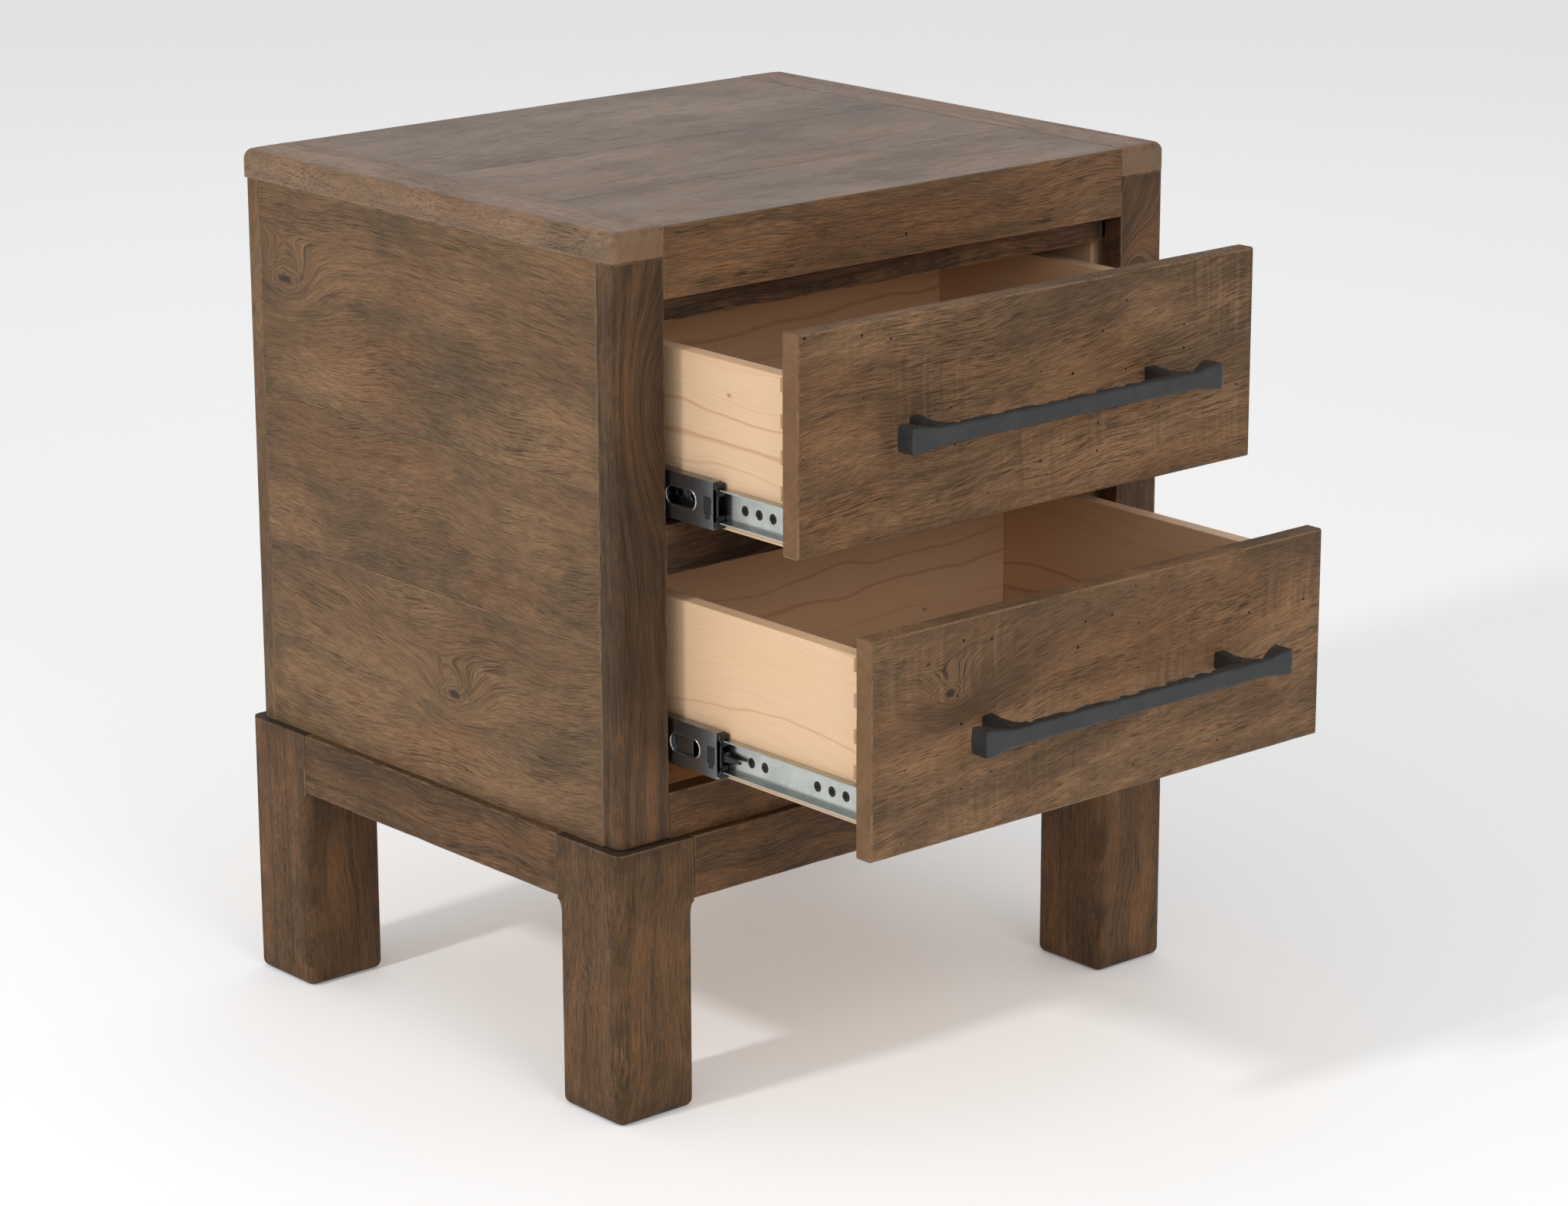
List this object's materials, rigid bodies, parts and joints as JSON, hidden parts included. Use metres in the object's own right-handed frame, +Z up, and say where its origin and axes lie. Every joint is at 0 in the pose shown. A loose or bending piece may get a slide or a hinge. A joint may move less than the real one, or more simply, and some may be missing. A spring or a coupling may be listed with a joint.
{
  "type": "nightstand",
  "caption": "Rustic wooden nightstand on a block-legged base, with inset drawers on full-extension ball-bearing slides and dark bar pulls.",
  "frame": {"origin": "middle of the footprint of the whole object on the floor, with both drawers partly open as stored", "axes": "+Z up, +X to the right of someone facing the front, -Y out of the front, the way the drawers open"},
  "size_m": [0.572, 0.7254, 0.676],
  "materials": {
    "case_wood": "satin, weathered brown reclaimed wood with dark pores, knots and saw marks",
    "top_wood": "satin, greyer brown reclaimed wood",
    "drawer_wood": "clear-lacquered pine",
    "panel_ply": "smooth unstained plywood",
    "handle_iron": "matte charcoal over hand-forged texture",
    "slide_zinc": "bright zinc-plated sheet steel",
    "slide_dark_steel": "darker plated sheet steel",
    "slide_plastic": "black moulded plastic"
  },
  "bodies": {
    "cabinet": {"top_panel": "top_wood", "top_front_rail": "case_wood", "top_end_board_left": "top_wood", "top_end_board_right": "top_wood", "bottom_rail": "case_wood", "middle_rail": "case_wood", "stop_rail": "case_wood", "case_bottom": "panel_ply", "dust_panel": "panel_ply", "back_panel": "panel_ply", "front_stile_left": "case_wood", "rear_stile_left": "case_wood", "side_panel_left": "case_wood", "slide_spacer_left": "drawer_wood", "leg_front_left": "case_wood", "leg_rear_left": "case_wood", "base_rail_left": "case_wood", "front_stile_right": "case_wood", "rear_stile_right": "case_wood", "side_panel_right": "case_wood", "slide_spacer_right": "drawer_wood", "leg_front_right": "case_wood", "leg_rear_right": "case_wood", "base_rail_right": "case_wood", "base_rail_front": "case_wood", "base_rail_rear": "case_wood", "upper_slide_cabinet_member_left": "slide_zinc", "upper_slide_cabinet_member_right": "slide_zinc", "lower_slide_cabinet_member_left": "slide_zinc", "lower_slide_cabinet_member_right": "slide_zinc"},
    "upper_drawer": {"upper_drawer_front": "case_wood", "upper_drawer_box_front": "drawer_wood", "upper_drawer_box_back": "drawer_wood", "upper_drawer_side_left": "drawer_wood", "upper_drawer_side_right": "drawer_wood", "upper_drawer_bottom": "panel_ply", "upper_drawer_handle": "handle_iron", "upper_slide_drawer_member_left": "slide_zinc", "upper_slide_drawer_member_right": "slide_zinc"},
    "upper_middle_members": {"upper_slide_middle_member_left": "slide_dark_steel", "upper_slide_middle_member_right": "slide_dark_steel"},
    "upper_ball_cages": {"upper_slide_ball_cage_left": "slide_dark_steel", "upper_slide_ball_cage_right": "slide_dark_steel"},
    "upper_release_lever_left": {"upper_slide_release_lever_left": "slide_plastic"},
    "upper_release_lever_right": {"upper_slide_release_lever_right": "slide_plastic"},
    "lower_drawer": {"lower_drawer_front": "case_wood", "lower_drawer_box_front": "drawer_wood", "lower_drawer_box_back": "drawer_wood", "lower_drawer_side_left": "drawer_wood", "lower_drawer_side_right": "drawer_wood", "lower_drawer_bottom": "panel_ply", "lower_drawer_handle": "handle_iron", "lower_slide_drawer_member_left": "slide_zinc", "lower_slide_drawer_member_right": "slide_zinc"},
    "lower_middle_members": {"lower_slide_middle_member_left": "slide_dark_steel", "lower_slide_middle_member_right": "slide_dark_steel"},
    "lower_ball_cages": {"lower_slide_ball_cage_left": "slide_dark_steel", "lower_slide_ball_cage_right": "slide_dark_steel"},
    "lower_release_lever_left": {"lower_slide_release_lever_left": "slide_plastic"},
    "lower_release_lever_right": {"lower_slide_release_lever_right": "slide_plastic"}
  },
  "joints": [
    {"name": "upper_drawer_slide", "type": "slide", "parent": "cabinet", "child": "upper_drawer", "axis": [0, -1, 0], "range_m": [-0.144, 0.161]},
    {"name": "upper_middle_members_slide", "type": "slide", "parent": "cabinet", "child": "upper_middle_members", "axis": [0, -1, 0], "range_m": [-0.0722, 0.0807]},
    {"name": "upper_ball_cages_slide", "type": "slide", "parent": "cabinet", "child": "upper_ball_cages", "axis": [0, -1, 0], "range_m": [-0.1082, 0.12095]},
    {"name": "upper_release_lever_left_hinge", "type": "hinge", "parent": "upper_drawer", "child": "upper_release_lever_left", "pos_m": [-0.2245, -0.07475, 0.4785], "axis": [1, 0, 0], "range_deg": [-8, 0], "stiffness_Nm_per_rad": 0.05},
    {"name": "upper_release_lever_right_hinge", "type": "hinge", "parent": "upper_drawer", "child": "upper_release_lever_right", "pos_m": [0.2245, -0.07475, 0.4785], "axis": [1, 0, 0], "range_deg": [0, 8], "stiffness_Nm_per_rad": 0.05},
    {"name": "lower_drawer_slide", "type": "slide", "parent": "cabinet", "child": "lower_drawer", "axis": [0, -1, 0], "range_m": [-0.222, 0.083]},
    {"name": "lower_middle_members_slide", "type": "slide", "parent": "cabinet", "child": "lower_middle_members", "axis": [0, -1, 0], "range_m": [-0.0742, 0.02787]},
    {"name": "lower_ball_cages_slide", "type": "slide", "parent": "cabinet", "child": "lower_ball_cages", "axis": [0, -1, 0], "range_m": [-0.1482, 0.05553]},
    {"name": "lower_release_lever_left_hinge", "type": "hinge", "parent": "lower_drawer", "child": "lower_release_lever_left", "pos_m": [-0.2245, -0.15275, 0.2905], "axis": [1, 0, 0], "range_deg": [-8, 0], "stiffness_Nm_per_rad": 0.05},
    {"name": "lower_release_lever_right_hinge", "type": "hinge", "parent": "lower_drawer", "child": "lower_release_lever_right", "pos_m": [0.2245, -0.15275, 0.2905], "axis": [1, 0, 0], "range_deg": [0, 8], "stiffness_Nm_per_rad": 0.05}
  ],
  "couplings": [
    {"joint": "upper_middle_members_slide", "follows": "upper_drawer_slide", "ratio": 0.5},
    {"joint": "upper_ball_cages_slide", "follows": "upper_drawer_slide", "ratio": 0.75},
    {"joint": "lower_middle_members_slide", "follows": "lower_drawer_slide", "ratio": 0.33333},
    {"joint": "lower_ball_cages_slide", "follows": "lower_drawer_slide", "ratio": 0.66667}
  ]
}
